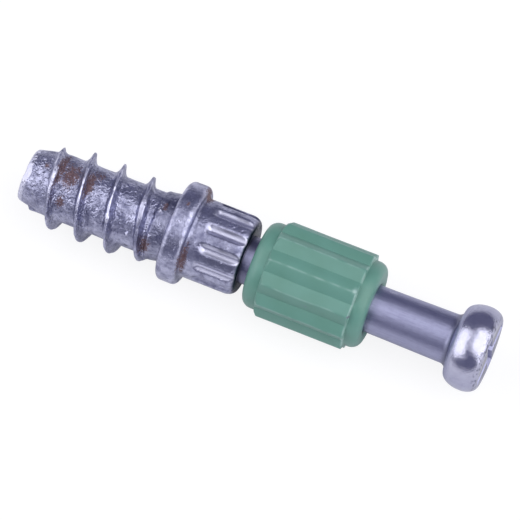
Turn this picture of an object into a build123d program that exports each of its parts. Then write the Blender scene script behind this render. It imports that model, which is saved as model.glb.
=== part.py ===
from build123d import *
from math import asin, ceil, cos, degrees, radians, sin
import os

# Screw-in furniture dowel, lying on its side. Sizes are in millimetres, angles in degrees.
# The origin is on the axis, in the plane of the collar's seat face.
# +X runs along the axis to the mushroom head, the thread points to -X, and +Z is up.
# Turns about the axis are counted from +Z towards the front, which is -Y.

# Core of the threaded end, which is one casting with the collar and the fluted drum
THREADED_LENGTH = 11.9
TIP_DIAMETER = 4.1
TIP_CONE_LENGTH = 2.1
TIP_EDGE_CHAMFER = 0.3
CORE_DIAMETER = 5.0
NECK_DIAMETER = 5.4
NECK_LENGTH = 1.25
NECK_TAPER_LENGTH = 0.2

# Right-hand thread: one start, a trapezium section, low at both ends
THREAD_DIAMETER = 6.7
THREAD_PITCH = 2.42
THREAD_ROOT_WIDTH = 0.84
THREAD_CREST_WIDTH = 0.2
THREAD_ROOT_SINK = 0.5
THREAD_CREST_STOCK = 0.1
THREAD_START_GAP = 0.4
THREAD_LEAD_IN_LENGTH = 2.2
THREAD_RUN_OUT_DIAMETER = 6.1
THREAD_RUN_OUT_LENGTH = 2.2
THREAD_FADE_LENGTH = 0.35
THREAD_NECK_GAP = 0.05
THREAD_CREST_STATION = -10.07
THREAD_CREST_TURN = -65.6

# Collar that stops the dowel on the panel's face
COLLAR_DIAMETER = 7.85
COLLAR_THICKNESS = 1.65
COLLAR_EDGE_RADIUS = 0.42
COLLAR_ROOT_FILLET = 0.25

# Fluted drum that holds the pin
DRUM_DIAMETER = 6.25
DRUM_LENGTH = 4.4
DRUM_FACE_DIAMETER = 5.2
DRUM_ROUNDING_LENGTH = 0.8
FLUTE_COUNT = 12
FLUTE_RADIUS = 0.3
FLUTE_DEPTH = 0.25
FLUTE_SETBACK = 1.2
FLUTE_TURN = 3.0

# Pin with a mushroom head, its plain end cast into the drum
SHANK_DIAMETER = 3.72
PIN_SEAT_DEPTH = 6.0
PIN_CASTING_GAP = 0.01
SHANK_FLARE_LENGTH = 5.6
HEAD_NECK_DIAMETER = 3.9
HEAD_NECK_EASING = 0.55
HEAD_FACE_STATION = 25.6
HEAD_DIAMETER = 6.65
HEAD_BAND_LENGTH = 0.5
HEAD_ROUNDING_LENGTH = 0.88
HEAD_FACE_DIAMETER = 5.25

# Cross recess in the head's face
RECESS_DIAMETER = 4.6
RECESS_FLOOR_DIAMETER = 1.8
RECESS_WING_WIDTH = 0.95
RECESS_FLOOR_WIDTH = 0.6
RECESS_DEPTH = 1.7
RECESS_TURN = 7.4

# Moulded sleeve, gripping the shank, with ribs for the hole in the second panel
SLEEVE_GAP = 0.72
SLEEVE_LENGTH = 9.45
SLEEVE_GRIP_GAP = 0.01
SLEEVE_MOUTH_CHAMFER = 0.12
SLEEVE_FACE_DIAMETER = 5.5
SHOULDER_DIAMETER = 6.8
SHOULDER_ROUNDING_LENGTH = 0.8
INNER_SHOULDER_LENGTH = 1.18
OUTER_SHOULDER_LENGTH = 1.05
RIB_COUNT = 12
RIB_DIAMETER = 7.68
RIB_VALLEY_DIAMETER = 6.9
RIB_CREST_WIDTH = 0.12
RIB_END_CHAMFER = 0.25
RIB_TURN = 15.0

# Number of flats that each kind of rounding is turned with
EDGE_STEPS = 3
SHOULDER_STEPS = 4
HEAD_STEPS = 5
UNDERSIDE_STEPS = 6

# Stations along the axis that several pieces share
TIP_STATION = -THREADED_LENGTH
DRUM_FACE_STATION = COLLAR_THICKNESS + DRUM_LENGTH
PIN_END_STATION = DRUM_FACE_STATION - PIN_SEAT_DEPTH
SLEEVE_START_STATION = DRUM_FACE_STATION + SLEEVE_GAP
SLEEVE_END_STATION = SLEEVE_START_STATION + SLEEVE_LENGTH


def turned(points):
    """Solid turned about the dowel's axis from the corners of its closed outline."""
    return revolve(make_face(Polyline(*points, close=True).edges()), Axis.X)


def rounding(start, end, centre, steps):
    """Points of a quarter ellipse about a centre, from start to end, both included."""
    start_arm = (start[0] - centre[0], start[1] - centre[1])
    end_arm = (end[0] - centre[0], end[1] - centre[1])
    points = []
    for step in range(steps + 1):
        angle = radians(90 * step / steps)
        x = centre[0] + start_arm[0] * cos(angle) + end_arm[0] * sin(angle)
        r = centre[1] + start_arm[1] * cos(angle) + end_arm[1] * sin(angle)
        points.append((x, r))
    return points


def around(copies, first_turn, shape):
    """Equal copies of a shape about the dowel's axis, the first at first_turn."""
    step = 360 / copies
    return [Rot(first_turn + step * number, 0, 0) * shape for number in range(copies)]


def thread_envelope():
    """Turned space that the thread may fill: it rises behind the tip and fades at the neck."""
    start_x = TIP_STATION + THREAD_START_GAP
    full_x = start_x + THREAD_LEAD_IN_LENGTH
    end_x = -NECK_LENGTH - THREAD_NECK_GAP
    low_x = end_x - THREAD_FADE_LENGTH
    run_out_x = low_x - THREAD_RUN_OUT_LENGTH
    crest_radius = THREAD_DIAMETER / 2
    return turned([
        (start_x, 0),
        (start_x, TIP_DIAMETER / 2),
        (full_x, crest_radius),
        (run_out_x, crest_radius),
        (low_x, THREAD_RUN_OUT_DIAMETER / 2),
        (end_x, CORE_DIAMETER / 2),
        (end_x, 0),
    ])


def thread():
    """Helical rib swept round the core, a little too tall, and trimmed to its envelope."""
    core_radius = CORE_DIAMETER / 2
    inner_radius = core_radius - THREAD_ROOT_SINK
    outer_radius = THREAD_DIAMETER / 2 + THREAD_CREST_STOCK
    flank_slope = (THREAD_ROOT_WIDTH - THREAD_CREST_WIDTH) / (THREAD_DIAMETER - CORE_DIAMETER)
    inner_half = THREAD_ROOT_WIDTH / 2 + flank_slope * THREAD_ROOT_SINK
    outer_half = THREAD_CREST_WIDTH / 2 - flank_slope * THREAD_CREST_STOCK
    turns = ceil(THREADED_LENGTH / THREAD_PITCH) + 1
    helix = Helix(THREAD_PITCH, turns * THREAD_PITCH, inner_radius)
    section = Polyline(
        (inner_radius, 0, -inner_half),
        (outer_radius, 0, -outer_half),
        (outer_radius, 0, outer_half),
        (inner_radius, 0, inner_half),
        close=True,
    )
    rib = sweep(make_face(section.edges()), path=helix, is_frenet=True)
    # Tipped onto X, the helix starts underneath, at a turn of 180
    start_x = TIP_STATION - THREAD_PITCH
    start_turn = THREAD_CREST_TURN + 360 * (start_x - THREAD_CREST_STATION) / THREAD_PITCH
    laid = Pos(start_x, 0, 0) * Rot(start_turn - 180, 0, 0) * Rot(0, 90, 0) * rib
    return laid & thread_envelope()


def collar_outline():
    """Half section of the collar, from its seat round both edges and into the drum."""
    edge = COLLAR_EDGE_RADIUS
    fillet = COLLAR_ROOT_FILLET
    radius = COLLAR_DIAMETER / 2
    inner_radius = radius - edge
    drum_radius = DRUM_DIAMETER / 2
    far_x = COLLAR_THICKNESS
    near_centre = (edge, inner_radius)
    far_centre = (far_x - edge, inner_radius)
    root_centre = (far_x + fillet, drum_radius + fillet)
    seat_edge = rounding((0, inner_radius), (edge, radius), near_centre, EDGE_STEPS)
    far_edge = rounding((far_x - edge, radius), (far_x, inner_radius), far_centre, EDGE_STEPS)
    root = rounding((far_x, drum_radius + fillet), (far_x + fillet, drum_radius), root_centre, EDGE_STEPS)
    return seat_edge + far_edge + root


def casting_blank():
    """Turned form of the casting: tip, core, neck, collar and drum, with the pin's blind seat."""
    core_radius = CORE_DIAMETER / 2
    neck_radius = NECK_DIAMETER / 2
    drum_radius = DRUM_DIAMETER / 2
    face_radius = DRUM_FACE_DIAMETER / 2
    seat_radius = SHANK_DIAMETER / 2 + PIN_CASTING_GAP
    tip_radius = TIP_DIAMETER / 2
    rounding_x = DRUM_FACE_STATION - DRUM_ROUNDING_LENGTH
    end_centre = (rounding_x, face_radius)
    drum_end = rounding((rounding_x, drum_radius), (DRUM_FACE_STATION, face_radius), end_centre, EDGE_STEPS)
    return turned([
        (TIP_STATION, 0),
        (TIP_STATION, tip_radius - TIP_EDGE_CHAMFER),
        (TIP_STATION + TIP_EDGE_CHAMFER, tip_radius),
        (TIP_STATION + TIP_CONE_LENGTH, core_radius),
        (-NECK_LENGTH - NECK_TAPER_LENGTH, core_radius),
        (-NECK_LENGTH, neck_radius),
        (0, neck_radius),
        *collar_outline(),
        *drum_end,
        (DRUM_FACE_STATION, seat_radius),
        (PIN_END_STATION, seat_radius),
        (PIN_END_STATION, 0),
    ])


def flute_cutter():
    """Round bar that cuts one flute along the top of the drum and out through its end."""
    start_x = COLLAR_THICKNESS + FLUTE_SETBACK
    length = DRUM_FACE_STATION - start_x + FLUTE_RADIUS
    height = DRUM_DIAMETER / 2 - FLUTE_DEPTH + FLUTE_RADIUS
    return Pos(start_x + length / 2, 0, height) * Rot(0, 90, 0) * Cylinder(FLUTE_RADIUS, length)


def threaded_body():
    """One casting: threaded end, collar and fluted drum."""
    body = casting_blank() + thread()
    return body - around(FLUTE_COUNT, FLUTE_TURN, flute_cutter())


def cross_recess():
    """Two crossed wings that narrow towards the recess's floor."""
    mouth = Plane((HEAD_FACE_STATION, 0, 0), x_dir=(0, 0, 1), z_dir=(1, 0, 0))
    floor = mouth.offset(-RECESS_DEPTH)
    wing = loft([
        mouth * Rectangle(RECESS_DIAMETER, RECESS_WING_WIDTH),
        floor * Rectangle(RECESS_FLOOR_DIAMETER, RECESS_FLOOR_WIDTH),
    ])
    return Rot(RECESS_TURN, 0, 0) * (wing + Rot(90, 0, 0) * wing)


def headed_pin():
    """Plain shank that flares a little into a mushroom head with a cross recess."""
    shank_radius = SHANK_DIAMETER / 2
    neck_radius = HEAD_NECK_DIAMETER / 2
    head_radius = HEAD_DIAMETER / 2
    face_radius = HEAD_FACE_DIAMETER / 2
    underside_radius = head_radius - neck_radius
    rounding_x = HEAD_FACE_STATION - HEAD_ROUNDING_LENGTH
    band_x = rounding_x - HEAD_BAND_LENGTH
    neck_x = band_x - underside_radius
    underside_centre = (band_x, neck_radius)
    end_centre = (rounding_x, face_radius)
    underside = rounding((neck_x, neck_radius), (band_x, head_radius), underside_centre, UNDERSIDE_STEPS)
    head_end = rounding((rounding_x, head_radius), (HEAD_FACE_STATION, face_radius), end_centre, HEAD_STEPS)
    pin = turned([
        (PIN_END_STATION, 0),
        (PIN_END_STATION, shank_radius),
        (neck_x - SHANK_FLARE_LENGTH, shank_radius),
        (neck_x - HEAD_NECK_EASING, neck_radius),
        *underside[1:],
        *head_end,
        (HEAD_FACE_STATION, 0),
    ])
    return pin - cross_recess()


def at_turn(x, radius, angle):
    """Point at a station along the axis, a radius from it and a turn about it."""
    turn = radians(angle)
    return (x, -radius * sin(turn), radius * cos(turn))


def ribs():
    """Star prism of pointed ribs with narrow flat crests, chamfered at both ends."""
    start_x = SLEEVE_START_STATION + INNER_SHOULDER_LENGTH
    end_x = SLEEVE_END_STATION - OUTER_SHOULDER_LENGTH
    crest_radius = RIB_DIAMETER / 2
    valley_radius = RIB_VALLEY_DIAMETER / 2
    step = 360 / RIB_COUNT
    half_crest = degrees(asin(RIB_CREST_WIDTH / RIB_DIAMETER))
    corners = []
    for number in range(RIB_COUNT):
        crest = RIB_TURN + step * number
        corners.append(at_turn(start_x, valley_radius, crest - step / 2))
        corners.append(at_turn(start_x, crest_radius, crest - half_crest))
        corners.append(at_turn(start_x, crest_radius, crest + half_crest))
    star = make_face(Polyline(*corners, close=True).edges())
    prism = extrude(star, amount=end_x - start_x, dir=(1, 0, 0))
    # A double cone meets at mid length, well outside the crests, and trims only the rib ends
    middle_x = (start_x + end_x) / 2
    trim_radius = crest_radius - RIB_END_CHAMFER
    middle_radius = trim_radius + middle_x - start_x
    return prism & turned([
        (start_x, 0),
        (start_x, trim_radius),
        (middle_x, middle_radius),
        (end_x, trim_radius),
        (end_x, 0),
    ])


def barrel():
    """Solid barrel of the sleeve, with both ends rounded down to flat faces."""
    start_x = SLEEVE_START_STATION
    end_x = SLEEVE_END_STATION
    side_radius = SHOULDER_DIAMETER / 2
    face_radius = SLEEVE_FACE_DIAMETER / 2
    inner_x = start_x + SHOULDER_ROUNDING_LENGTH
    outer_x = end_x - SHOULDER_ROUNDING_LENGTH
    inner_centre = (inner_x, face_radius)
    outer_centre = (outer_x, face_radius)
    inner_end = rounding((start_x, face_radius), (inner_x, side_radius), inner_centre, SHOULDER_STEPS)
    outer_end = rounding((outer_x, side_radius), (end_x, face_radius), outer_centre, SHOULDER_STEPS)
    return turned([(start_x, 0), *inner_end, *outer_end, (end_x, 0)])


def sleeve_bore():
    """Space of the sleeve's bore: it follows the shank, and widens at both mouths."""
    bore_radius = SHANK_DIAMETER / 2 + SLEEVE_GRIP_GAP
    mouth_radius = bore_radius + SLEEVE_MOUTH_CHAMFER
    return turned([
        (SLEEVE_START_STATION, 0),
        (SLEEVE_START_STATION, mouth_radius),
        (SLEEVE_START_STATION + SLEEVE_MOUTH_CHAMFER, bore_radius),
        (SLEEVE_END_STATION - SLEEVE_MOUTH_CHAMFER, bore_radius),
        (SLEEVE_END_STATION, mouth_radius),
        (SLEEVE_END_STATION, 0),
    ])


def ribbed_sleeve():
    """One moulding: barrel with rounded shoulders, pointed ribs and a bore for the shank."""
    return barrel() + ribs() - sleeve_bore()


pieces = {
    "threaded_body": threaded_body(),
    "headed_pin": headed_pin(),
    "ribbed_sleeve": ribbed_sleeve(),
}
os.makedirs("parts", exist_ok=True)
for name, piece in pieces.items():
    export_step(piece, f"parts/{name}.step")
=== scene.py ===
"""Screw-in furniture dowel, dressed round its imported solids.

A zinc casting carries the coarse thread, the collar and the fluted drum. A drawn steel pin
with a mushroom head stands in the drum, and a green moulded sleeve grips the pin. Sizes in
the classes are millimetres and degrees, and each mesh is scaled to metres once, as it is
made. The axis is X, +X runs to the head, and turns are counted from +Z towards -Y.
"""

import logging
import math
from dataclasses import dataclass
from enum import Enum
from typing import Any, Sequence

import bmesh
import bpy
import numpy as np
from mathutils import Matrix, Vector, noise


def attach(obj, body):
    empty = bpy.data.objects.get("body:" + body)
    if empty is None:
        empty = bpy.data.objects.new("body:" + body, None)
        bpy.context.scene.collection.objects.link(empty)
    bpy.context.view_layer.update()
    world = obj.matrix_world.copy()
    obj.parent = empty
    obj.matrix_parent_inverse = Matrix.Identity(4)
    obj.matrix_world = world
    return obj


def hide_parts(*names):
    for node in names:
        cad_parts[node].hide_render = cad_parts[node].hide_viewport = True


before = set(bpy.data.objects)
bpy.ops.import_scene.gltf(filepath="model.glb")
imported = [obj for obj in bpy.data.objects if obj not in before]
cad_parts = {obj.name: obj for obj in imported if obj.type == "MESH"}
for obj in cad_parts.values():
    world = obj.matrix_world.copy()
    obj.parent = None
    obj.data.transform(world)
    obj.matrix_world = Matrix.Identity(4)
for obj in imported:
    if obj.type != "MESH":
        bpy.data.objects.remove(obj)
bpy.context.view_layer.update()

MM = 0.001
LOG = logging.getLogger("dowel")
COLOURS = {"data_type": "RGBA"}
SCALED_SUM = {"operation": "MULTIPLY_ADD"}
EASED = {"interpolation_type": "SMOOTHSTEP"}


def linear(code: str) -> tuple[float, float, float, float]:
    """Turns an sRGB hex colour to linear RGBA.

    Args:
        code: Colour as "#rrggbb".

    Returns:
        Linear red, green and blue, with an alpha of 1.
    """
    channels = [int(code[i:i + 2], 16) / 255 for i in (1, 3, 5)]
    values = [c / 12.92 if c <= 0.04045 else ((c + 0.055) / 1.055) ** 2.4 for c in channels]
    return (values[0], values[1], values[2], 1.0)


def per_size(size: float) -> float:
    """Texture scale, in repeats a metre, of a pattern whose marks are size mm apart."""
    return 1.0 / (size * MM)


def connect(tree: bpy.types.NodeTree, node: bpy.types.Node, inputs: dict[Any, Any]) -> None:
    """Sets or links the inputs of a node.

    Args:
        tree: Node tree that the node is in.
        node: Node whose inputs are set.
        inputs: By input name or number, a value, an output socket, or a node that stands for its
            first output in use.
    """
    for name, value in inputs.items():
        in_use = [socket for socket in node.inputs if socket.enabled and socket.name == name]
        socket = in_use[0] if in_use else node.inputs[name]
        if isinstance(value, bpy.types.Node):
            value = next(output for output in value.outputs if output.enabled)
        if isinstance(value, bpy.types.NodeSocket):
            tree.links.new(value, socket)
        else:
            socket.default_value = value


def add_node(tree: bpy.types.NodeTree, kind: str, settings: dict[str, Any],
             inputs: dict[Any, Any]) -> bpy.types.Node:
    """Adds a node with its settings, values and links.

    Args:
        tree: Node tree that the node joins.
        kind: Type of shader node, such as Math.
        settings: Properties of the node by name.
        inputs: Values or links, as connect takes them.

    Returns:
        The new node.
    """
    node = tree.nodes.new("ShaderNode" + kind)
    for name, value in settings.items():
        setattr(node, name, value)
    connect(tree, node, inputs)
    return node


def smooth(value: np.ndarray, low: float, high: float) -> np.ndarray:
    """Ramp from 0 at low to 1 at high, flat at both ends."""
    share = np.clip((value - low) / (high - low), 0.0, 1.0)
    return share * share * (3.0 - 2.0 * share)


def band(value: np.ndarray, start: float, full: float, fading: float, end: float) -> np.ndarray:
    """Ramp from 0 at start to 1 at full, and back from 1 at fading to 0 at end."""
    return smooth(value, start, full) * (1.0 - smooth(value, fading, end))


def turn_from(turns: np.ndarray, centre: float) -> np.ndarray:
    """Turn from a centre, wrapped to plus or minus 180 degrees."""
    return (turns - centre + 180.0) % 360.0 - 180.0


class Mask(Enum):
    """Masks that a mesh carries for its finish, one number a vertex."""

    # Wear and highlight: rubbed places, and painted highlights where the lamps shine
    WEAR_AND_HIGHLIGHT = "wear_and_highlight"
    RUST = "rust"
    # Grime and shade: real grease and dirt, and painted shade in crevices, gaps and faces turned from the
    # lamps
    GRIME_AND_SHADE = "grime_and_shade"
    CAST = "cast"


@dataclass(frozen=True)
class Corner:
    """Corner of a turned outline.

    Attributes:
        x: Station along the axis.
        r: Radius.
        before: Length that the rounding takes of the run before it.
        after: Length that the rounding takes of the run after it.
        step: Spacing of the rings on the run to the next corner.
        facets: Number of facets in the rounding.
    """

    x: float
    r: float
    before: float = 0.0
    after: float = 0.0
    step: float = 1.0
    facets: int = 6


def rounded(corner: Corner, previous: Corner, following: Corner) -> list[np.ndarray]:
    """Points of one corner's rounding, near a quarter ellipse, or the bare corner.

    Args:
        corner: Corner to round.
        previous: Corner before it.
        following: Corner after it.

    Returns:
        Points from the run before the corner to the run after it.
    """
    apex = np.array([corner.x, corner.r])
    if corner.before == 0.0 or corner.after == 0.0:
        return [apex]
    back = np.array([previous.x, previous.r]) - apex
    ahead = np.array([following.x, following.r]) - apex
    start = apex + corner.before * back / np.linalg.norm(back)
    end = apex + corner.after * ahead / np.linalg.norm(ahead)
    pull = 0.5523
    first, second = start + pull * (apex - start), end + pull * (apex - end)
    points = []
    for t in np.linspace(0.0, 1.0, corner.facets + 1):
        u = 1.0 - t
        points.append(u ** 3 * start + 3 * u * u * t * first + 3 * u * t * t * second + t ** 3 * end)
    return points


def outline(corners: Sequence[Corner], loop: bool) -> np.ndarray:
    """Points of a turned outline with its corners rounded.

    Args:
        corners: Corners in order.
        loop: True for a closed outline that keeps off the axis.

    Returns:
        Array of stations and radii, one row a ring.
    """
    count = len(corners)
    parts = [rounded(c, corners[i - 1], corners[(i + 1) % count]) for i, c in enumerate(corners)]
    points: list[np.ndarray] = []
    for i in range(count):
        points += parts[i]
        if i + 1 < count or loop:
            start, end = parts[i][-1], parts[(i + 1) % count][0]
            runs = max(1, math.ceil(np.linalg.norm(end - start) / corners[i].step))
            points += [start + (end - start) * k / runs for k in range(1, runs)]
    return np.array(points)


class Skin:
    """Grid of points over a turned surface, shaped in mm and then made into a mesh."""

    def __init__(self, corners: Sequence[Corner], turns: np.ndarray, loop: bool) -> None:
        """Lays the grid.

        Args:
            corners: Outline's corners, from axis to axis unless it is a loop.
            turns: Turn of each column.
            loop: True for an outline that closes on itself.
        """
        rings = outline(corners, loop)
        self.loop = loop
        self.turn = np.broadcast_to(turns, (len(rings), len(turns)))
        self.x = np.repeat(rings[:, :1], len(turns), axis=1)
        self.r = np.repeat(rings[:, 1:], len(turns), axis=1)
        self.masks: dict[Mask, np.ndarray] = {}

    def points(self) -> np.ndarray:
        """Points of the grid in mm, by ring and column."""
        angle = np.radians(self.turn)
        return np.stack([self.x, -self.r * np.sin(angle), self.r * np.cos(angle)], axis=-1)

    def near(self, turn: float, full: float, none: float) -> np.ndarray:
        """Ramp from 1 within full degrees of a turn to 0 beyond none degrees."""
        return 1.0 - smooth(np.abs(turn_from(self.turn, turn)), full, none)

    def mark(self, mask: Mask, values: np.ndarray) -> None:
        """Raises a mask to the given values where it is lower."""
        self.masks[mask] = np.maximum(self.masks.get(mask, 0.0), values)

    def fade(self, mask: Mask, share: np.ndarray) -> None:
        """Lowers a mask by a share of itself."""
        self.masks[mask] = self.masks[mask] * (1.0 - share)

    def cloud(self, size: float, seed: float, octaves: int = 3) -> np.ndarray:
        """Soft noise over the surface, about -1 to 1.

        Args:
            size: Size of its lumps.
            seed: Shift that makes one cloud unlike another.
            octaves: Number of finer layers added.

        Returns:
            One number for each point of the grid.
        """
        points = self.points().reshape(-1, 3) / size + seed
        values = [noise.fractal(Vector(p), 1.0, 2.0, octaves) for p in points.tolist()]
        return np.array(values).reshape(self.r.shape)

    def make(self, name: str, material: bpy.types.Material) -> bpy.types.Object:
        """Makes the object, with its masks and its finish.

        Args:
            name: Name of the object.
            material: Finish.

        Returns:
            The new object, linked to the scene.
        """
        points = self.points() * MM
        rings, columns = self.r.shape
        ends = 0 if self.loop else 1
        inner = slice(ends, rings - ends)
        vertices = points[inner].reshape(-1, 3).tolist()
        faces = []
        kept = rings - 2 * ends
        for i in range(kept if self.loop else kept - 1):
            low, high = i * columns, (i + 1) % kept * columns
            for j in range(columns):
                k = (j + 1) % columns
                faces.append((low + j, high + j, high + k, low + k))
        if not self.loop:
            first = len(vertices)
            vertices += [points[0].mean(axis=0).tolist(), points[-1].mean(axis=0).tolist()]
            top = (kept - 1) * columns
            for j in range(columns):
                k = (j + 1) % columns
                faces.append((first, j, k))
                faces.append((first + 1, top + k, top + j))
        mesh = bpy.data.meshes.new(name)
        mesh.from_pydata(vertices, [], faces)
        for mask, values in self.masks.items():
            numbers = values[inner].reshape(-1)
            if not self.loop:
                numbers = np.append(numbers, [values[0].mean(), values[-1].mean()])
            layer = mesh.attributes.new(mask.value, "FLOAT", "POINT")
            layer.data.foreach_set("value", numbers.astype(np.float32))
        face_outwards(mesh)
        mesh.shade_smooth()
        made = bpy.data.objects.new(name, mesh)
        mesh.materials.append(material)
        bpy.context.scene.collection.objects.link(made)
        return made


def face_outwards(mesh: bpy.types.Mesh) -> None:
    """Turns every face of a closed mesh outwards.

    Args:
        mesh: Mesh to turn.
    """
    work = bmesh.new()
    work.from_mesh(mesh)
    bmesh.ops.recalc_face_normals(work, faces=work.faces)
    work.to_mesh(mesh)
    work.free()


@dataclass(frozen=True)
class Blot:
    """Soft-edged patch on a turned surface.

    Attributes:
        station: Station of its middle.
        turn: Turn of its middle.
        length: Half length along the axis, in mm.
        width: Half width round the axis, in degrees.
        strength: Mask value in the middle.
    """

    station: float
    turn: float
    length: float
    width: float
    strength: float = 1.0

    def over(self, skin: Skin) -> np.ndarray:
        """Mask of the blot over a skin.

        Args:
            skin: Skin that it lies on.

        Returns:
            One number for each point of the grid.
        """
        along = (skin.x - self.station) / self.length
        across = turn_from(skin.turn, self.turn) / self.width
        return self.strength * (1.0 - smooth(np.hypot(along, across), 0.1, 1.0))


def blots_over(skin: Skin, blots: Sequence[Blot]) -> np.ndarray:
    """Strongest of several blots at each point of a skin.

    Args:
        skin: Skin that they lie on.
        blots: Blots, which may overlap.

    Returns:
        One number for each point of the grid.
    """
    mask = np.zeros_like(skin.r)
    for blot in blots:
        mask = np.maximum(mask, blot.over(skin))
    return mask


@dataclass(frozen=True)
class DieCastZinc:
    """Zinc alloy, die-cast and handled.

    The cast skin shows as a fine pitted grain that breaks the light into bright and dark
    flecks. Rubbed edges are brighter and smoother, and rust has stained it in patches.
    Painted highlights brighten thread crests, flute floors and the tip's bevel on the lit
    side, and painted shade darkens crevices, gaps and the drum's end face.
    """

    metal: str = "#bcbdd5"
    dull: str = "#7e7f9a"
    rubbed_and_highlight: str = "#dcdcee"
    grease_and_shade: str = "#2b2d45"
    rust: str = "#7c5853"
    dark_rust: str = "#503a3f"
    roughness: float = 0.27
    dull_roughness: float = 0.45
    rubbed_roughness: float = 0.33
    rust_roughness: float = 0.62
    rust_metallic: float = 0.4
    rust_reach: float = 0.85
    rust_scatter: float = 2.6
    cloud: float = 0.792
    grain: float = 0.36
    fleck: float = 0.16
    pit_spacing: float = 0.5
    relief: float = 0.15

    def make(self) -> bpy.types.Material:
        """Makes the material.

        Returns:
            The new material.
        """
        material = bpy.data.materials.new("zinc_alloy_die_cast")
        material.use_nodes = True
        tree = material.node_tree
        place = add_node(tree, "TexCoord", {}, {}).outputs["Object"]
        wear_and_highlight, rust, grime_and_shade, cast = (
            add_node(tree, "Attribute", {"attribute_name": mask.value}, {}).outputs["Fac"]
            for mask in (Mask.WEAR_AND_HIGHLIGHT, Mask.RUST, Mask.GRIME_AND_SHADE, Mask.CAST))
        grain = add_node(tree, "TexNoise", {}, {
            "Vector": place, "Scale": per_size(self.grain), "Detail": 1.5, "Roughness": 0.5,
            "Distortion": 1.2})
        cloud = add_node(tree, "TexNoise", {}, {
            "Vector": place, "Scale": per_size(self.cloud), "Detail": 4.0, "Roughness": 0.7})
        pits = add_node(tree, "TexVoronoi", {"feature": "F1"}, {
            "Vector": place, "Scale": per_size(self.pit_spacing), "Randomness": 1.0})
        pit_depth = add_node(tree, "MapRange", EASED, {
            "Value": pits, "From Min": 0.05, "From Max": 0.3, "To Min": -0.55, "To Max": 0.0})
        height = add_node(tree, "Math", {"operation": "ADD"}, {0: grain, 1: pit_depth})
        bump = add_node(tree, "Bump", {}, {
            "Strength": cast, "Distance": self.relief * MM, "Height": height})
        # Dull oxide lies in clouds; rubbed places, and painted highlights, shine through it
        dulled = add_node(tree, "MapRange", {}, {"Value": cloud, "From Min": 0.38, "From Max": 0.66})
        base = add_node(tree, "Mix", COLOURS, {
            "Factor": dulled, "A": linear(self.metal), "B": linear(self.dull)})
        shone = add_node(tree, "Mix", COLOURS, {"Factor": wear_and_highlight, "A": base, "B": linear(self.rubbed_and_highlight)})
        # Painted shade: the grime mask darkens towards the dark grease colour in crevices and gaps, besides
        # real grease
        greased_and_shaded = add_node(tree, "Mix", COLOURS, {"Factor": grime_and_shade, "A": shone, "B": linear(self.grease_and_shade)})
        # Rust sits in flecks, close together in the middle of a patch and sparse round it
        flecks = add_node(tree, "TexNoise", {}, {
            "Vector": place, "Scale": per_size(self.fleck), "Detail": 3.0, "Roughness": 0.7,
            "Distortion": 1.0})
        spread = add_node(tree, "Math", SCALED_SUM, {
            0: flecks, 1: self.rust_scatter, 2: -self.rust_scatter / 2})
        reach = add_node(tree, "Math", SCALED_SUM, {0: rust, 1: self.rust_reach, 2: spread})
        rusted = add_node(tree, "MapRange", EASED, {
            "Value": reach, "From Min": 0.38, "From Max": 0.7, "To Max": 0.9})
        rust_colour = add_node(tree, "Mix", COLOURS, {
            "Factor": cloud, "A": linear(self.rust), "B": linear(self.dark_rust)})
        colour = add_node(tree, "Mix", COLOURS, {"Factor": rusted, "A": greased_and_shaded, "B": rust_colour})
        rough = add_node(tree, "MapRange", {}, {
            "Value": dulled, "To Min": self.roughness, "To Max": self.dull_roughness})
        rubbed_rough = add_node(tree, "Mix", {}, {"Factor": wear_and_highlight, "A": rough, "B": self.rubbed_roughness})
        rust_rough = add_node(tree, "Mix", {}, {
            "Factor": rusted, "A": rubbed_rough, "B": self.rust_roughness})
        metallic = add_node(tree, "MapRange", {}, {
            "Value": rusted, "To Min": 1.0, "To Max": self.rust_metallic})
        connect(tree, tree.nodes["Principled BSDF"], {
            "Base Color": colour, "Roughness": rust_rough, "Metallic": metallic, "Normal": bump})
        return material


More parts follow.
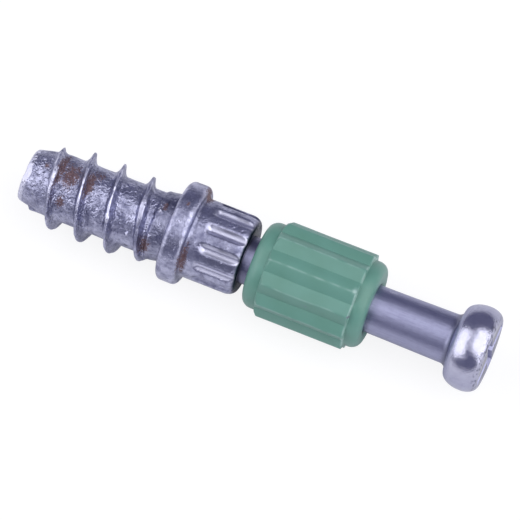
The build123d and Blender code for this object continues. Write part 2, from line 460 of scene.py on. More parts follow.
@dataclass(frozen=True)
class DrawnSteel:
    """Carbon steel wire, drawn, with an upset and tumbled head.

    Drawing leaves faint streaks along the shank and a satin shine. The head is smoother and
    mirrors the lamps, and its lit side is painted brighter as a highlight. Painted shade
    darkens the neck under the head and the pin in the gaps by the drum and the sleeve.
    """

    metal: str = "#a8a9c4"
    dull: str = "#8788a6"
    bright: str = "#c6c6d9"
    grease_and_shade: str = "#34354c"
    shank_roughness: float = 0.38
    head_roughness: float = 0.17
    streak: float = 0.12
    streak_stretch: float = 0.1
    speckle: float = 0.42
    relief: float = 0.024

    def make(self) -> bpy.types.Material:
        """Makes the material.

        Returns:
            The new material.
        """
        material = bpy.data.materials.new("carbon_steel_drawn")
        material.use_nodes = True
        tree = material.node_tree
        place = add_node(tree, "TexCoord", {}, {}).outputs["Object"]
        wear_and_highlight, grime_and_shade = (
            add_node(tree, "Attribute", {"attribute_name": mask.value}, {}).outputs["Fac"]
            for mask in (Mask.WEAR_AND_HIGHLIGHT, Mask.GRIME_AND_SHADE))
        drawn = add_node(tree, "Mapping", {}, {"Vector": place, "Scale": (self.streak_stretch, 1.0, 1.0)})
        streaks = add_node(tree, "TexNoise", {}, {
            "Vector": drawn, "Scale": per_size(self.streak), "Detail": 4.0, "Roughness": 0.65})
        speckle = add_node(tree, "TexNoise", {}, {
            "Vector": place, "Scale": per_size(self.speckle), "Detail": 5.0, "Roughness": 0.75})
        # The head shows mostly the speckle, and the shank mostly the streaks
        share = add_node(tree, "MapRange", {}, {"Value": wear_and_highlight, "To Min": 0.35})
        mixed = add_node(tree, "Mix", {}, {"Factor": share, "A": streaks, "B": speckle})
        bump = add_node(tree, "Bump", {}, {"Distance": self.relief * MM, "Height": mixed})
        depth = add_node(tree, "MapRange", {}, {"Value": wear_and_highlight, "To Min": 0.6, "To Max": 0.2})
        tone = add_node(tree, "MapRange", {}, {
            "Value": mixed, "From Min": 0.42, "From Max": 0.68, "To Max": depth})
        # The head's bright colour is partly a painted highlight on its lit side
        base = add_node(tree, "Mix", COLOURS, {
            "Factor": wear_and_highlight, "A": linear(self.metal), "B": linear(self.bright)})
        toned = add_node(tree, "Mix", COLOURS, {"Factor": tone, "A": base, "B": linear(self.dull)})
        # Painted shade: the grime mask darkens towards the grease colour in the neck and the gaps
        colour = add_node(tree, "Mix", COLOURS, {"Factor": grime_and_shade, "A": toned, "B": linear(self.grease_and_shade)})
        rough = add_node(tree, "MapRange", {}, {
            "Value": wear_and_highlight, "To Min": self.shank_roughness, "To Max": self.head_roughness})
        connect(tree, tree.nodes["Principled BSDF"], {
            "Base Color": colour, "Roughness": rough, "Metallic": 1.0, "Normal": bump})
        return material


@dataclass(frozen=True)
class MouldedPolyamide:
    """Polyamide, injection moulded, through-coloured sage green.

    It looks satin and a little milky. Corners are rubbed paler, and the same pale colour
    paints highlights on rib crests and rib ends. Handling has left a few grey specks.
    """

    green: str = "#6a9b8e"
    deep: str = "#5c8b79"
    pale: str = "#a9c6bd"
    soil: str = "#6f7080"
    roughness: float = 0.36
    ior: float = 1.53
    grain: float = 0.25
    cloud: float = 2.0
    scatter: float = 1.2
    relief: float = 0.004

    def make(self) -> bpy.types.Material:
        """Makes the material.

        Returns:
            The new material.
        """
        material = bpy.data.materials.new("polyamide_injection_moulded")
        material.use_nodes = True
        tree = material.node_tree
        place = add_node(tree, "TexCoord", {}, {}).outputs["Object"]
        wear_and_highlight, grime_and_shade = (
            add_node(tree, "Attribute", {"attribute_name": mask.value}, {}).outputs["Fac"]
            for mask in (Mask.WEAR_AND_HIGHLIGHT, Mask.GRIME_AND_SHADE))
        grain = add_node(tree, "TexNoise", {}, {
            "Vector": place, "Scale": per_size(self.grain), "Detail": 4.0, "Roughness": 0.6})
        cloud = add_node(tree, "TexNoise", {}, {
            "Vector": place, "Scale": per_size(self.cloud), "Detail": 2.0, "Roughness": 0.5})
        base = add_node(tree, "Mix", COLOURS, {
            "Factor": cloud, "A": linear(self.green), "B": linear(self.deep)})
        # Pale on rubbed corners, and painted highlight on crests and rib ends
        rubbed_and_highlight = add_node(tree, "Mix", COLOURS, {"Factor": wear_and_highlight, "A": base, "B": linear(self.pale)})
        reach = add_node(tree, "Math", SCALED_SUM, {0: grain, 1: self.scatter, 2: -self.scatter / 2})
        soiled = add_node(tree, "Math", {"operation": "ADD", "use_clamp": True}, {0: grime_and_shade, 1: reach})
        spread = add_node(tree, "MapRange", EASED, {
            "Value": soiled, "From Min": 0.3, "From Max": 0.8, "To Max": 0.8})
        colour = add_node(tree, "Mix", COLOURS, {"Factor": spread, "A": rubbed_and_highlight, "B": linear(self.soil)})
        bump = add_node(tree, "Bump", {}, {"Distance": self.relief * MM, "Height": grain})
        connect(tree, tree.nodes["Principled BSDF"], {
            "Base Color": colour, "Roughness": self.roughness, "IOR": self.ior, "Normal": bump})
        return material


@dataclass(frozen=True)
class SeamlessPaper:
    """Matt white paper under the object. It reads as white, and still takes a soft shadow.

    Attributes:
        white: Colour of the paper.
        lift: Share of plain white in what the camera sees.
        veil: Plain white that is added for the camera.
        mirrored_lift: Share of plain white in what the object mirrors.
    """

    white: str = "#dedee0"
    lift: float = 0.75
    veil: float = 0.1
    mirrored_lift: float = 0.15

    def make(self) -> bpy.types.Material:
        """Makes the material.

        Returns:
            The new material.
        """
        material = bpy.data.materials.new("paper_matt_white")
        material.use_nodes = True
        tree = material.node_tree
        tree.nodes.remove(tree.nodes["Principled BSDF"])
        paper = add_node(tree, "BsdfDiffuse", {}, {"Color": linear(self.white)})
        glow = add_node(tree, "Emission", {}, {"Color": linear("#ffffff")})
        rays = add_node(tree, "LightPath", {}, {}).outputs
        mirrored = add_node(tree, "Math", {"operation": "MAXIMUM"}, {
            0: rays["Is Glossy Ray"], 1: rays["Is Transmission Ray"]})
        dimmed = add_node(tree, "Math", {"operation": "MULTIPLY"}, {0: mirrored, 1: self.mirrored_lift})
        share = add_node(tree, "Math", SCALED_SUM, {0: rays["Is Camera Ray"], 1: self.lift, 2: dimmed})
        shaded = add_node(tree, "MixShader", {}, {"Fac": share, 1: paper, 2: glow})
        veil = add_node(tree, "Math", {"operation": "MULTIPLY"}, {
            0: rays["Is Camera Ray"], 1: self.veil})
        haze = add_node(tree, "Emission", {}, {"Color": linear("#ffffff"), "Strength": veil})
        summed = add_node(tree, "AddShader", {}, {0: shaded, 1: haze})
        connect(tree, tree.nodes["Material Output"], {"Surface": summed})
        return material


@dataclass
class ThreadedBody:
    """Casting with the threaded end, the collar and the fluted drum."""

    tip_station: float = -11.9
    tip_radius: float = 2.05
    tip_bevel: float = 0.16
    tip_cone_length: float = 2.1
    trim_turn: float = 20.0
    trim_station: float = -14.72
    trim_slope: float = 1.6
    face_tilt: float = 0.05
    face_lean: float = 0.03
    face_setback: float = 0.04
    core_radius: float = 2.5
    neck_radius: float = 2.7
    neck_length: float = 1.25
    thread_radius: float = 3.35
    pitch: float = 2.42
    thread_start: float = -10.75
    lead_in: float = 2.65
    run_out: float = -3.85
    fade: float = -1.6
    thread_end: float = -1.0
    crest_half_width: float = 0.05
    root_half_width: float = 0.48
    crest_easing: float = 0.06
    flank_hollow: float = 2.35
    thread_waver: float = 0.03
    crest_unevenness: float = 0.06
    crest_station: float = -10.07
    crest_turn: float = -65.6
    collar_radius: float = 3.925
    collar_thickness: float = 1.65
    collar_easing: float = 0.42
    drum_radius: float = 3.125
    drum_end: float = 6.05
    flute_count: int = 12
    flute_turn: float = 3.0
    flute_depth: float = 0.25
    flute_half_width: float = 0.42
    flute_start: float = 2.6
    flute_rounding: float = 0.55
    lip_turn: float = -6.5
    seat_radius: float = 1.87
    seat_floor: float = 0.05
    mismatch: float = 0.15
    parting_turn: float = 112.0
    flash_radius: float = 2.47
    burr_height: float = 0.14
    skin_relief: float = 0.02
    lump_relief: float = 0.012

    def corners(self) -> list[Corner]:
        """Outline from the middle of the tip, over the outside, to the floor of the seat.

        Returns:
            Corners in order.
        """
        fine, plain = 0.038, 0.06
        neck = -self.neck_length
        easing = self.collar_easing
        cone_end = self.tip_station + self.tip_cone_length
        return [
            Corner(self.tip_station, 0.0, step=0.3),
            Corner(self.tip_station, self.tip_radius - self.tip_bevel, 0.06, 0.06, fine, 3),
            Corner(self.tip_station + self.tip_bevel, self.tip_radius, 0.06, 0.06, fine, 3),
            Corner(cone_end, self.core_radius, 0.5, 0.5, fine),
            Corner(neck - 0.2, self.core_radius, 0.1, 0.08, plain, 4),
            Corner(neck, self.neck_radius, 0.08, 0.1, 0.08, 4),
            Corner(0.0, self.neck_radius, 0.12, 0.12, plain, 5),
            Corner(0.0, self.collar_radius, easing, easing, 0.08, 8),
            Corner(self.collar_thickness, self.collar_radius, easing, easing, 0.08, 8),
            Corner(self.collar_thickness, self.drum_radius, 0.25, 0.28, 0.12, 6),
            Corner(self.flute_start - 0.1, self.drum_radius, step=0.06),
            Corner(self.flute_start + 0.6, self.drum_radius, step=0.2),
            Corner(self.drum_end, self.drum_radius, 0.8, 0.525, 0.08, 10),
            Corner(self.drum_end, self.seat_radius, 0.06, 0.06, 1.5, 3),
            Corner(self.seat_floor, self.seat_radius, step=0.6),
            Corner(self.seat_floor, 0.0),
        ]

    def columns(self) -> np.ndarray:
        """Turns of the grid's columns, closer together over the flutes.

        Returns:
            Turns in degrees.
        """
        steps = [-6.6, -5.6, -4.6, -3.5, -2.4, -1.2, 0.0, 1.2, 2.4, 3.5, 4.6, 5.6, 6.6,
                 8.6, 10.8, 12.9, 15.0, 17.1, 19.2, 21.4]
        pitch = 360.0 / self.flute_count
        return np.array([self.flute_turn + pitch * k + s for k in range(self.flute_count) for s in steps])

    def trim_tip(self, skin: Skin) -> None:
        """Tilts the end face and trims its near edge, as a clipped casting has it.

        Args:
            skin: Skin of the casting.
        """
        angle = np.radians(turn_from(skin.turn, self.trim_turn))
        near, low = skin.r * np.cos(angle), skin.r * np.sin(angle)
        at_face = 1.0 - smooth(skin.x, self.tip_station, self.tip_station + 1.2)
        skin.x = skin.x + at_face * (self.face_tilt * near - self.face_lean * low - self.face_setback)
        plane = self.trim_station + self.trim_slope * near
        clipped = smooth(plane - skin.x, 0.0, 0.02) * (1.0 - smooth(skin.x, -11.0, -10.8))
        skin.x = np.where(clipped > 0.0, np.maximum(skin.x, plane), skin.x)
        # The trimmed face is painted brighter, most on the side facing the lamps: painted highlight
        skin.mark(Mask.WEAR_AND_HIGHLIGHT, clipped * (0.25 + 0.75 * skin.near(25.0, 12.0, 30.0)))
        skin.fade(Mask.CAST, 0.8 * clipped)

    def raise_thread(self, skin: Skin) -> None:
        """Raises the thread: hollow flanks up to a thin crest, low at both ends.

        Args:
            skin: Skin of the casting.
        """
        waver = self.thread_waver * skin.cloud(1.6, 5.0, 2)
        uneven = 1.0 + self.crest_unevenness * skin.cloud(0.9, 9.0, 2)
        turns = (skin.x - self.crest_station) / self.pitch - turn_from(skin.turn, self.crest_turn) / 360.0
        side = (turns - np.round(turns)) * self.pitch + waver
        rise = np.clip((skin.x - self.thread_start) / self.lead_in, 0.0, 1.0)
        fall = np.interp(skin.x, [self.run_out, self.fade, self.thread_end], [1.0, 0.7, 0.0])
        height = (1.0 - (1.0 - rise) ** 2) * fall * uneven
        # The crest is a flat that widens as the thread runs out, and where it has been flattened
        widening = 0.16 * (1.0 - fall) * smooth(fall, 0.0, 0.3) + 0.04 * skin.cloud(0.7, 4.0, 2)
        flat = self.crest_half_width + widening + blots_over(skin, [
            Blot(-9.6, 2.0, 0.9, 34.0, 0.08),
            Blot(-4.47, 40.0, 0.6, 8.0, 0.16),
            Blot(-2.34, 12.0, 0.8, 34.0, 0.09),
        ])
        past_flat = np.abs(side) - flat
        reach = self.root_half_width * (0.4 + 0.6 * height)
        down = np.maximum(past_flat, 0.0) / reach
        share = np.clip(np.sqrt(down ** 2 + self.crest_easing ** 2) - self.crest_easing, 0.0, 1.0)
        lifted = (self.thread_radius - self.core_radius) * height * (1.0 - share) ** self.flank_hollow
        risen = smooth(height, 0.1, 0.4)
        crest = (1.0 - smooth(past_flat, 0.0, 0.09)) * risen
        tilt = blots_over(skin, [Blot(-9.6, 2.0, 0.9, 38.0, 0.3), Blot(-4.47, 40.0, 0.6, 9.0, 0.3)])
        skin.r = skin.r + lifted + tilt * side * crest
        duller = Blot(-2.34, 12.0, 0.9, 50.0, 0.5).over(skin)
        patchy = smooth(skin.cloud(0.55, 13.0, 2), -0.5, 0.05) * (1.0 - duller)
        polished = blots_over(skin, [Blot(-9.6, 2.0, 0.9, 40.0), Blot(-4.47, 40.0, 0.6, 9.0)])
        # Crests are painted bright mostly on the side facing the lamps: painted highlight, with real polish
        # on the flattened spots
        bared_and_highlit = crest * np.maximum((0.08 + 0.92 * skin.near(4.0, 24.0, 50.0)) * patchy, polished)
        skin.mark(Mask.WEAR_AND_HIGHLIGHT, bared_and_highlit)
        skin.fade(Mask.CAST, 0.9 * bared_and_highlit)
        skin.fade(Mask.RUST, bared_and_highlit)
        # Painted shade in a band beside each crest, down the hollow flanks
        flank_shade = risen * band(past_flat, 0.03, 0.1, 0.2, 0.36) * smooth(skin.cloud(0.7, 17.0, 2), -0.5, 0.5)
        skin.mark(Mask.GRIME_AND_SHADE, 0.15 * flank_shade)

    def leave_flash(self, skin: Skin) -> None:
        """Leaves the thin flash of the mould's parting line, and a few burrs.

        Args:
            skin: Skin of the casting.
        """
        place = band(skin.x, -11.05, -10.8, -10.1, -9.3) * skin.near(self.parting_turn, 2.0, 8.0)
        flash = place * np.clip(self.flash_radius - skin.r, 0.0, 0.3)
        burrs = blots_over(skin, [
            Blot(-4.47, 41.0, 0.27, 6.5),
            Blot(-1.03, 2.2, 0.2, 5.0),
            Blot(-2.9, 62.0, 0.2, 5.0, 0.8),
            Blot(-8.95, 84.0, 0.25, 8.0, 0.7),
        ])
        skin.r = skin.r + flash + self.burr_height * burrs
        skin.mark(Mask.WEAR_AND_HIGHLIGHT, burrs)

    def cut_flutes(self, skin: Skin) -> None:
        """Cuts the flutes into the drum, each with a rounded start.

        Args:
            skin: Skin of the casting.
        """
        pitch = 360.0 / self.flute_count
        off = (skin.turn - self.flute_turn + pitch / 2) % pitch - pitch / 2
        arc = np.abs(np.radians(off)) * self.drum_radius
        share = np.clip(arc / self.flute_half_width, 0.0, 1.0)
        uneven = 0.2 * skin.cloud(0.9, 21.0, 1)
        start = smooth(skin.x + uneven, self.flute_start, self.flute_start + self.flute_rounding)
        bottom = self.drum_radius - self.flute_depth * (1.0 - share * share) * start
        on_drum = (skin.x > self.flute_start) & (skin.r > self.seat_radius + 0.3)
        skin.r = np.where(on_drum, np.minimum(skin.r, bottom), skin.r)
        # Flute floors on the lit side are painted bright: painted highlight
        floor = on_drum * start * (1.0 - smooth(share, 0.75, 1.0)) * skin.near(18.0, 52.0, 66.0)
        skin.mark(Mask.WEAR_AND_HIGHLIGHT, floor)
        skin.fade(Mask.CAST, 0.9 * floor)
        # A dark line along each flute's upper lip: painted shadow
        lip_shadow = on_drum * start * band(off / self.lip_turn, 0.45, 0.8, 1.0, 1.3)
        skin.mark(Mask.GRIME_AND_SHADE, 0.55 * lip_shadow * smooth(skin.cloud(1.0, 23.0, 2), -0.5, 0.3))

    def roughen(self, skin: Skin) -> None:
        """Shifts collar and drum a little off the core's axis, and adds the uneven cast skin.

        Args:
            skin: Skin of the casting.
        """
        shifted = self.mismatch * smooth(skin.x, -1.1, -0.1) * smooth(skin.r, 2.2, 2.7)
        skin.r = skin.r - shifted * np.sin(np.radians(skin.turn))
        outside = smooth(skin.r, 1.9, 2.1)
        uneven = self.skin_relief * skin.cloud(0.42, 2.0) + self.lump_relief * skin.cloud(1.4, 7.0, 2)
        skin.r = skin.r + outside * skin.masks[Mask.CAST] * uneven

    def build(self, finish: DieCastZinc) -> bpy.types.Object:
        """Builds the casting.

        Args:
            finish: Metal that it is cast in.

        Returns:
            The casting.
        """
        skin = Skin(self.corners(), self.columns(), loop=False)
        x, r = skin.x, skin.r
        pitted = (1.0 - smooth(x, -1.2, -0.2)) * (1.0 - 0.4 * smooth(x, -7.4, -5.6))
        skin.mark(Mask.CAST, 0.25 + 0.75 * pitted)
        # The tip's bevel, and the collar's edges on the lit side, are painted bright: painted highlight,
        # with real wear on the edges
        bevel = (1.0 - smooth(x, -11.6, -11.4)) * smooth(r, 1.65, 1.75)
        middle = 0.5 * self.collar_thickness
        rim = band(np.abs(x - middle), 0.35, 0.6, 0.75, 0.85) * smooth(r, 3.55, 3.75)
        rim = rim * skin.near(6.0, 34.0, 60.0) * smooth(skin.cloud(0.6, 31.0, 2), -0.5, 0.3)
        skin.mark(Mask.WEAR_AND_HIGHLIGHT, np.maximum(0.9 * bevel, 0.4 * rim))
        # Painted shade: darker in the collar's root, in the neck, on the drum's end face and in patches on
        # collar and drum, with a few small dark spots
        root = band(x, 1.5, 1.65, 1.75, 2.3) * (1.0 - smooth(r, 3.2, 3.6))
        neck = band(x, -1.5, -0.9, 0.0, 0.1) * (1.0 - smooth(r, 2.8, 3.2))
        end = smooth(x, 5.75, 6.02) * smooth(r, 1.8, 1.9)
        skin.mark(Mask.GRIME_AND_SHADE, np.maximum.reduce([0.2 * root, 0.25 * neck, 0.95 * end, blots_over(skin, [
            Blot(-2.83, 92.0, 0.34, 4.0),
            Blot(0.82, 37.0, 0.9, 14.0, 0.32),
            Blot(4.4, 43.0, 2.6, 16.0, 0.36),
            Blot(4.4, 19.0, 2.6, 14.0, 0.22),
            Blot(-0.72, -15.0, 0.22, 17.0, 0.8),
        ])]))
        skin.mark(Mask.RUST, blots_over(skin, [
            Blot(-9.25, -10.0, 0.6, 75.0),
            Blot(-8.35, -2.0, 1.25, 48.0, 0.95),
            Blot(-8.45, 50.0, 0.62, 22.0, 0.92),
            Blot(-6.75, 0.0, 0.6, 52.0),
            Blot(-6.3, -20.0, 0.7, 30.0, 0.7),
            Blot(-1.35, 70.0, 0.65, 36.0),
            Blot(-0.85, -9.0, 0.4, 15.0, 0.85),
            Blot(1.85, 62.0, 0.5, 50.0),
            Blot(1.8, -56.0, 0.75, 34.0),
            Blot(0.82, -11.0, 0.3, 7.0, 0.8),
            Blot(-10.4, -3.6, 0.5, 14.0, 0.7),
        ]))
        self.trim_tip(skin)
        self.raise_thread(skin)
        self.leave_flash(skin)
        self.cut_flutes(skin)
        self.roughen(skin)
        made = skin.make("cast_body", finish.make())
        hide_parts("threaded_body")
        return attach(made, "root")


@dataclass
class HeadedPin:
    """Drawn pin with its mushroom head and cross recess."""

    foot: float = 0.05
    shank_radius: float = 1.86
    flare_start: float = 17.2
    neck_radius: float = 1.95
    neck_station: float = 22.845
    crown: float = 24.4
    head_radius: float = 3.325
    face_station: float = 25.6
    face_radius: float = 2.6
    recess_turn: float = 7.4
    recess_depth: float = 1.7
    mouth_length: float = 5.0
    mouth_width: float = 0.95
    floor_length: float = 1.8
    floor_width: float = 0.6
    rim_easing: float = 0.05
    column_step: float = 2.25

    def corners(self) -> list[Corner]:
        """Outline from the middle of the foot to the middle of the head's face.

        Returns:
            Corners in order.
        """
        underside = self.head_radius - self.neck_radius
        easing = 0.5
        return [
            Corner(self.foot, 0.0, step=0.6),
            Corner(self.foot, self.shank_radius, 0.1, 0.1, 0.25, 4),
            Corner(self.flare_start, self.shank_radius, 0.8, 0.8, 0.2),
            Corner(self.neck_station, self.neck_radius, easing, easing, 0.04, 12),
            Corner(self.neck_station, self.head_radius, underside - easing,
                   self.crown - self.neck_station, 3.0, 40),
            Corner(self.face_station, self.head_radius, self.face_station - self.crown - 0.04,
                   self.head_radius - self.face_radius, 0.2, 30),
            Corner(self.face_station, 0.0),
        ]

    def cross_section(self, station: float, length: float, width: float) -> list[Vector]:
        """Twelve corners of the cross at a station.

        Args:
            station: Station along the axis.
            length: Length of each bar of the cross.
            width: Width of each bar.

        Returns:
            Corners in order round the cross, in metres.
        """
        long, wide = length / 2, width / 2
        arm = [(long, -wide), (long, wide), (wide, wide)]
        corners = []
        for quarter in range(4):
            turn = math.radians(90.0 * quarter + self.recess_turn)
            for a, b in arm:
                y = -(a * math.sin(turn) + b * math.cos(turn))
                z = a * math.cos(turn) - b * math.sin(turn)
                corners.append(Vector((station, y, z)) * MM)
        return corners

    def cut_recess(self, pin: bpy.types.Object) -> None:
        """Cuts the cross recess into the head and eases its rim.

        Args:
            pin: Pin with a closed, plain head.
        """
        over = 0.4
        grow = over / self.recess_depth
        top_length = self.mouth_length + (self.mouth_length - self.floor_length) * grow
        top_width = self.mouth_width + (self.mouth_width - self.floor_width) * grow
        top = self.cross_section(self.face_station + over, top_length, top_width)
        deep = self.face_station - self.recess_depth
        bottom = self.cross_section(deep, self.floor_length, self.floor_width)
        count = len(top)
        sides = [(i, (i + 1) % count, count + (i + 1) % count, count + i) for i in range(count)]
        mesh = bpy.data.meshes.new("recess_cutter")
        ends = [tuple(range(count)), tuple(range(count, 2 * count))]
        mesh.from_pydata(top + bottom, [], ends + sides)
        face_outwards(mesh)
        cutter = bpy.data.objects.new("recess_cutter", mesh)
        bpy.context.scene.collection.objects.link(cutter)
        cut = pin.modifiers.new("recess", "BOOLEAN")
        cut.operation = "DIFFERENCE"
        cut.solver = "EXACT"
        cut.object = cutter
        ease = pin.modifiers.new("rim", "BEVEL")
        ease.limit_method = "ANGLE"
        ease.angle_limit = math.radians(40.0)
        ease.width = self.rim_easing * MM
        ease.segments = 2
        apply_modifiers(pin)
        bpy.data.objects.remove(cutter)
        pin.data.set_sharp_from_angle(angle=math.radians(50.0))

    def build(self, finish: DrawnSteel) -> bpy.types.Object:
        """Builds the pin.

        Args:
            finish: Metal that it is drawn from.

        Returns:
            The pin.
        """
        skin = Skin(self.corners(), np.arange(0.0, 360.0, self.column_step), loop=False)
        # The head is painted brighter and smoother, most on its lit side: partly a painted highlight
        skin.mark(Mask.WEAR_AND_HIGHLIGHT, smooth(skin.x, 22.9, 23.5) * (0.55 + 0.45 * skin.near(20.0, 36.0, 66.0)))
        skin.mark(Mask.WEAR_AND_HIGHLIGHT, Blot(17.35, -37.0, 0.45, 5.0, 0.9).over(skin))
        rim = smooth(skin.x, 25.15, 25.4) * smooth(skin.r, 2.35, 2.6)
        flecks = 0.6 * rim * smooth(skin.cloud(0.24, 3.0, 3), 0.0, 0.3)
        # Painted shade: darker in the neck under the head, in the gap between drum and sleeve, and beside
        # the sleeve's far mouth
        neck = smooth(skin.x, 22.2, 22.8) * (1.0 - smooth(skin.r, 2.0, 2.5))
        gap = band(skin.x, 5.3, 5.9, 7.0, 7.4) * (1.0 - skin.near(26.0, 6.0, 34.0))
        skin.mark(Mask.GRIME_AND_SHADE, np.maximum.reduce([0.6 * neck, 0.45 * gap, flecks, blots_over(skin, [
            Blot(16.35, 104.0, 0.35, 9.0),
            Blot(17.6, 107.0, 0.8, 4.0, 0.6),
            Blot(19.1, 105.0, 0.5, 4.0, 0.5),
            Blot(16.3, 66.0, 0.15, 60.0, 0.7),
        ])]))
        made = skin.make("drawn_pin", finish.make())
        self.cut_recess(made)
        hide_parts("headed_pin")
        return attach(made, "root")


def apply_modifiers(thing: bpy.types.Object) -> None:
    """Turns an object's modifiers into its mesh.

    Args:
        thing: Object that keeps the result and loses the modifiers.
    """
    bpy.context.view_layer.update()
    graph = bpy.context.evaluated_depsgraph_get()
    mesh = bpy.data.meshes.new_from_object(thing.evaluated_get(graph))
    thing.modifiers.clear()
    thing.data = mesh


@dataclass
class RibbedSleeve:
    """Moulded sleeve with twelve pointed ribs between two rounded shoulders."""

    start: float = 6.77
    end: float = 16.22
    bore_radius: float = 1.87
    mouth_easing: float = 0.28
    face_radius: float = 2.75
    shoulder_radius: float = 3.4
    shoulder_rounding: float = 0.8
    rib_start: float = 7.95
    rib_end: float = 15.17
    rib_count: int = 12
    rib_turn: float = 15.0
    rib_radius: float = 3.84
    valley_radius: float = 3.45
    inner_chamfer: float = 0.28
    outer_chamfer: float = 0.1
    crest_softness: float = 0.06
    offset: float = 0.09
    mouth_wear: float = 0.13
    worn_turn: float = 112.0

    def corners(self) -> list[Corner]:
        """Closed outline: near face, shoulder, rib zone, far shoulder, far face and bore.

        Returns:
            Corners in order.
        """
        rise = self.shoulder_radius - self.face_radius
        mouth = self.mouth_easing
        wall = 0.16
        return [
            Corner(self.start, self.bore_radius, mouth, mouth, 0.2, 4),
            Corner(self.start, self.shoulder_radius, rise, self.shoulder_rounding, 0.1, 12),
            Corner(self.rib_start - 0.04, self.shoulder_radius, step=0.018),
            Corner(self.rib_start + wall, self.shoulder_radius, step=0.05),
            Corner(self.rib_start + 0.5, self.shoulder_radius, step=0.25),
            Corner(self.rib_end - 0.5, self.shoulder_radius, step=0.05),
            Corner(self.rib_end - wall, self.shoulder_radius, step=0.018),
            Corner(self.rib_end + 0.04, self.shoulder_radius, step=0.1),
            Corner(self.end, self.shoulder_radius, self.shoulder_rounding, rise, 0.2, 12),
            Corner(self.end, self.bore_radius, mouth, mouth, 1.0, 4),
        ]

    def columns(self) -> np.ndarray:
        """Turns of the grid's columns, closer together at crests and valleys.

        Returns:
            Turns in degrees.
        """
        half = [0.0, 0.03, 0.07, 0.13, 0.25, 0.5, 0.75, 0.87, 0.93, 0.97]
        steps = half + [1.0] + [2.0 - s for s in reversed(half[1:])]
        pitch = 360.0 / self.rib_count
        return np.array([self.rib_turn + pitch * (k + s / 2) for k in range(self.rib_count) for s in steps])

    def raise_ribs(self, skin: Skin) -> None:
        """Raises the ribs out of the barrel, with chamfered ends.

        Args:
            skin: Skin of the sleeve.
        """
        pitch = 360.0 / self.rib_count
        waver = 0.7 * skin.cloud(3.0, 11.0, 2)
        share = np.abs((skin.turn + waver - self.rib_turn + pitch / 2) % pitch - pitch / 2) / (pitch / 2)
        soft = self.crest_softness
        fall = np.sqrt(share ** 2 + soft ** 2) - soft
        rest = 1.0 - fall
        level = np.sqrt(rest ** 2 + (0.6 * soft) ** 2) - 0.6 * soft
        star = self.valley_radius + (self.rib_radius - self.valley_radius) * level / level.max()
        inner, outer = skin.x - self.rib_start, self.rib_end - skin.x
        inside = np.minimum(inner, outer)
        slope = np.minimum(inner - self.inner_chamfer, outer - self.outer_chamfer)
        trimmed = np.minimum(star, self.rib_radius + np.minimum(slope, 0.0))
        blend = smooth(inside, -0.01, 0.07)
        on_barrel = skin.r > self.shoulder_radius - 0.01
        skin.r = np.where(on_barrel, skin.r + blend * (trimmed - skin.r), skin.r)
        # Crests and the far rib ends are paler: partly wear, partly painted highlight
        crest = (1.0 - smooth(share, 0.02, 0.1)) * blend
        step = on_barrel * band(outer, -0.02, 0.02, 0.1, 0.2)
        patchy = smooth(skin.cloud(0.8, 3.0, 2), -0.5, 0.4)
        skin.mark(Mask.WEAR_AND_HIGHLIGHT, np.maximum(0.35 * crest, 0.6 * step) * patchy)

    def build(self, finish: MouldedPolyamide) -> bpy.types.Object:
        """Builds the sleeve.

        Args:
            finish: Plastic that it is moulded in.

        Returns:
            The sleeve.
        """
        skin = Skin(self.corners(), self.columns(), loop=True)
        skin.mark(Mask.GRIME_AND_SHADE, blots_over(skin, [
            Blot(15.12, 45.1, 0.16, 3.0),
            Blot(11.8, 53.6, 0.8, 2.6, 0.62),
            Blot(10.6, 52.0, 0.5, 1.6, 0.5),
        ]))
        self.raise_ribs(skin)
        # The outside sits a little off the bore's axis, and one side of the far mouth is worn
        skin.r = skin.r - self.offset * np.sin(np.radians(skin.turn)) * smooth(skin.r, 2.2, 3.0)
        mouth = smooth(skin.x, 15.0, 15.9) * (1.0 - smooth(skin.r, 2.15, 2.5))
        skin.r = skin.r + self.mouth_wear * mouth * skin.near(self.worn_turn, 20.0, 60.0)
        # A pale spot at the far end of one crest: wear and painted highlight
        skin.mark(Mask.WEAR_AND_HIGHLIGHT, Blot(14.95, 14.0, 0.3, 4.5, 0.9).over(skin))
        made = skin.make("moulded_sleeve", finish.make())
        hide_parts("ribbed_sleeve")
        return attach(made, "root")


@dataclass(frozen=True)
class SoftBox:
    """Rectangular lamp that faces the object.

    Attributes:
        name: Name of the lamp.
        turn: Turn of its middle about the dowel's axis.
        lean: Lean of its middle along the axis, towards +X.
        length: Length along the axis, in mm.
        width: Width across the axis, in mm.
        radiance: Brightness of its face, where 1 is white.
        distance: Distance of its middle from the object, in mm.
    """

    name: str
    turn: float
    lean: float
    length: float
    width: float
    radiance: float
    distance: float = 420.0

    def hang(self, target: Vector) -> None:
        """Hangs the lamp over a target.

        Args:
            target: Point that it faces, in metres.
        """
        turn, lean = math.radians(self.turn), math.radians(self.lean)
        away = Vector((math.sin(lean), -math.sin(turn) * math.cos(lean), math.cos(turn) * math.cos(lean)))
        lamp = bpy.data.lights.new(self.name, "AREA")
        lamp.shape = "RECTANGLE"
        lamp.size = self.length * MM
        lamp.size_y = self.width * MM
        lamp.energy = self.radiance * math.pi * lamp.size * lamp.size_y
        across = away.cross(Vector((1.0, 0.0, 0.0))).normalized()
        along = across.cross(away).normalized()
        made = bpy.data.objects.new(self.name, lamp)
        made.matrix_world = Matrix.Translation(target + away * self.distance * MM) @ Matrix(
            (along, across, away)).transposed().to_4x4()
        bpy.context.scene.collection.objects.link(made)


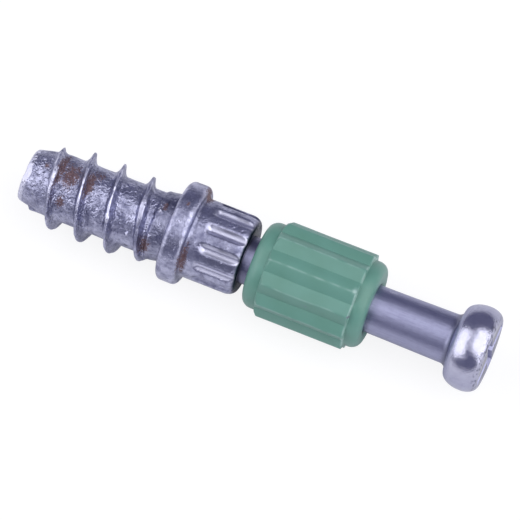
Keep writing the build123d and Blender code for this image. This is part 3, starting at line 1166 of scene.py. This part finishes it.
@dataclass
class Studio:
    """Camera, lamps, surroundings and floor."""

    azimuth: float = 19.84
    elevation: float = 64.18
    roll: float = 3.326
    distance: float = 379.9
    view_angle: float = 5.8675
    aim_station: float = 7.0575
    aim_rise: float = 0.335
    floor_level: float = -3.925
    floor_half_size: float = 3000.0
    surroundings: str = "#70718a"

    def place_camera(self) -> None:
        """Places the camera at the photograph's angle."""
        azimuth, elevation, roll = (math.radians(a) for a in (self.azimuth, self.elevation, self.roll))
        away = Vector((math.sin(azimuth) * math.cos(elevation), -math.cos(azimuth) * math.cos(elevation),
                       math.sin(elevation)))
        level_up = (Vector((0.0, 0.0, 1.0)) - away * away.z).normalized()
        level_right = level_up.cross(away)
        up = level_up * math.cos(roll) - level_right * math.sin(roll)
        right = level_right * math.cos(roll) + level_up * math.sin(roll)
        aim = Vector((self.aim_station, 0.0, 0.0)) + up * self.aim_rise
        data = bpy.data.cameras.new("camera")
        data.sensor_fit = "HORIZONTAL"
        data.lens = data.sensor_width / 2 / math.tan(math.radians(self.view_angle) / 2)
        data.clip_start = 0.01
        camera = bpy.data.objects.new("camera", data)
        camera.matrix_world = Matrix.Translation((aim + away * self.distance) * MM) @ Matrix(
            (right, up, away)).transposed().to_4x4()
        bpy.context.scene.collection.objects.link(camera)
        bpy.context.scene.camera = camera

    def light(self) -> None:
        """Hangs the lamps and sets the grey room round them."""
        target = Vector((self.aim_station, 0.0, 0.0)) * MM
        for box in (
            SoftBox("soft_box_left", 22.0, -39.0, 350.0, 600.0, 1.58),
            SoftBox("soft_box_right", 2.0, 33.0, 620.0, 540.0, 1.6),
            SoftBox("white_card_left", 20.0, -80.0, 300.0, 420.0, 0.95),
            SoftBox("white_card_right", 0.0, 86.0, 330.0, 460.0, 1.4),
        ):
            box.hang(target)
        world = bpy.data.worlds.new("grey_room")
        world.use_nodes = True
        world.node_tree.nodes["Background"].inputs["Color"].default_value = linear(self.surroundings)
        bpy.context.scene.world = world

    def lay_floor(self, paper: SeamlessPaper) -> None:
        """Lays the floor that the dowel lies on.

        Args:
            paper: Finish of the floor.
        """
        half, level = self.floor_half_size * MM, self.floor_level * MM
        mesh = bpy.data.meshes.new("floor")
        corners = [(-half, -half, level), (half, -half, level), (half, half, level), (-half, half, level)]
        mesh.from_pydata(corners, [], [(0, 1, 2, 3)])
        mesh.materials.append(paper.make())
        floor = bpy.data.objects.new("floor", mesh)
        bpy.context.scene.collection.objects.link(floor)

    def build(self) -> None:
        """Sets up everything round the object."""
        self.place_camera()
        self.light()
        self.lay_floor(SeamlessPaper())
        bpy.context.scene.view_settings.view_transform = "Standard"


def main() -> None:
    """Builds the studio and each piece in order, and reports the pieces."""
    logging.basicConfig(level=logging.INFO, format="%(name)s: %(message)s")
    Studio().build()
    pieces = [
        ThreadedBody().build(DieCastZinc()),
        HeadedPin().build(DrawnSteel()),
        RibbedSleeve().build(MouldedPolyamide()),
    ]
    for piece in pieces:
        piece.data.calc_loop_triangles()
        count = len(piece.data.loop_triangles)
        LOG.info("%s: %d triangles, %s", piece.name, count, piece.active_material.name)


if __name__ == "__main__":
    main()
